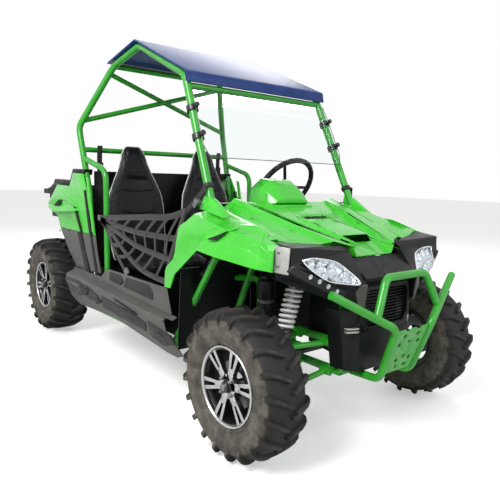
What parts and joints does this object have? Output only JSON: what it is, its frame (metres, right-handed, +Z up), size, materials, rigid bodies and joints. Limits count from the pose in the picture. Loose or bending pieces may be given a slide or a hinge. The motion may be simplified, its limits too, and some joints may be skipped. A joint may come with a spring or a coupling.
{
  "type": "side by side utv",
  "caption": "Open two-seat off-road side by side with tube cage, flat roof, half screen, faceted bonnet, brush guard, coil-over shocks and lugged tyres.",
  "frame": {"origin": "centre of the footprint, on the ground", "axes": "+X forward, +Y to the vehicle's left, +Z up"},
  "size_m": [2.599, 1.22, 1.6242],
  "materials": {
    "tyre_rubber": "dusty black rubber",
    "machined_rim": "machined face with black pockets",
    "green_panel": "lime green, moulded in colour",
    "green_tube": "lime green powder coat",
    "dark_roof": "blue-black",
    "black_plastic": "black, fine grain",
    "grey_sill": "satin grey",
    "light_plate": "brushed light grey",
    "black_tube": "black powder coat",
    "steel_parts": "plain steel",
    "white_coil": "white spring paint",
    "engine_alloy": "dark cast alloy",
    "exhaust_steel": "heat-dulled steel",
    "clear_screen": "clear sheet",
    "lamp_lens": "clear lens over silver bowl",
    "tail_lens": "red lens",
    "seat_vinyl": "black vinyl with white piping",
    "webbing": "dark grey-brown webbing",
    "wheel_grip": "black grip"
  },
  "bodies": {
    "root": {"bonnet": "green_panel", "brush_guard": "green_tube", "bulkhead": "black_plastic", "cage_cross": "green_tube", "cage_sides": "green_tube", "cargo_tray": "black_plastic", "chain_case": "engine_alloy", "coils": "white_coil", "corner_plates": "light_plate", "cowl": "green_panel", "dashboard": "black_plastic", "engine": "engine_alloy", "exhaust": "exhaust_steel", "fascia": "black_plastic", "fenders_front": "green_panel", "floor_tub": "black_plastic", "front_arms": "green_tube", "front_lamps": "lamp_lens", "grille": "black_plastic", "guard_plate": "green_tube", "lower_frame": "green_tube", "nose_mask": "black_plastic", "roof_panel": "dark_roof", "seat_base": "black_plastic", "seat_belts": "webbing", "seats": "seat_vinyl", "shocks": "steel_parts", "side_nets": "webbing", "side_panels": "green_panel", "sills": "grey_sill", "steering_column": "black_tube", "swing_arm": "green_tube", "tail_lamps": "tail_lens", "windshield": "clear_screen", "windshield_clamps": "black_tube"},
    "knuckle_left": {"knuckle_left": "steel_parts"},
    "knuckle_right": {"knuckle_right": "steel_parts"},
    "wheel_front_left": {"tyre_front_left": "tyre_rubber", "rim_front_left": "machined_rim"},
    "wheel_front_right": {"tyre_front_right": "tyre_rubber", "rim_front_right": "machined_rim"},
    "wheels_rear": {"rear_axle": "steel_parts", "tyres_rear": "tyre_rubber", "rims_rear": "machined_rim"},
    "steering_wheel": {"steering_wheel": "wheel_grip"},
    "rack": {"steering_rack": "steel_parts"}
  },
  "joints": [
    {"name": "steer_left", "type": "hinge", "parent": "root", "child": "knuckle_left", "pos_m": [0.951, 0.43, 0.267], "axis": [0, 0, 1], "range_deg": [-28, 28]},
    {"name": "steer_right", "type": "hinge", "parent": "root", "child": "knuckle_right", "pos_m": [0.951, -0.43, 0.267], "axis": [0, 0, 1], "range_deg": [-28, 28]},
    {"name": "rack_slide", "type": "slide", "parent": "root", "child": "rack", "axis": [0, 1, 0], "range_m": [-0.0377, 0.0377]},
    {"name": "steering_wheel_turn", "type": "hinge", "parent": "root", "child": "steering_wheel", "pos_m": [0.32, 0.25, 0.935], "axis": [-0.829, 0, 0.5592], "range_deg": [-226, 226]},
    {"name": "front_left_spin", "type": "hinge", "parent": "knuckle_left", "child": "wheel_front_left", "pos_m": [0.951, 0.515, 0.267], "axis": [0, 1, 0], "continuous": true},
    {"name": "front_right_spin", "type": "hinge", "parent": "knuckle_right", "child": "wheel_front_right", "pos_m": [0.951, -0.515, 0.267], "axis": [0, 1, 0], "continuous": true},
    {"name": "rear_axle_spin", "type": "hinge", "parent": "root", "child": "wheels_rear", "pos_m": [-1.015, 0, 0.285], "axis": [0, 1, 0], "continuous": true}
  ],
  "couplings": [
    {"joint": "steer_right", "follows": "steer_left", "ratio": 1},
    {"joint": "rack_slide", "follows": "steer_left", "m_per_rad": -0.0768},
    {"joint": "steering_wheel_turn", "follows": "steer_left", "ratio": 8}
  ]
}
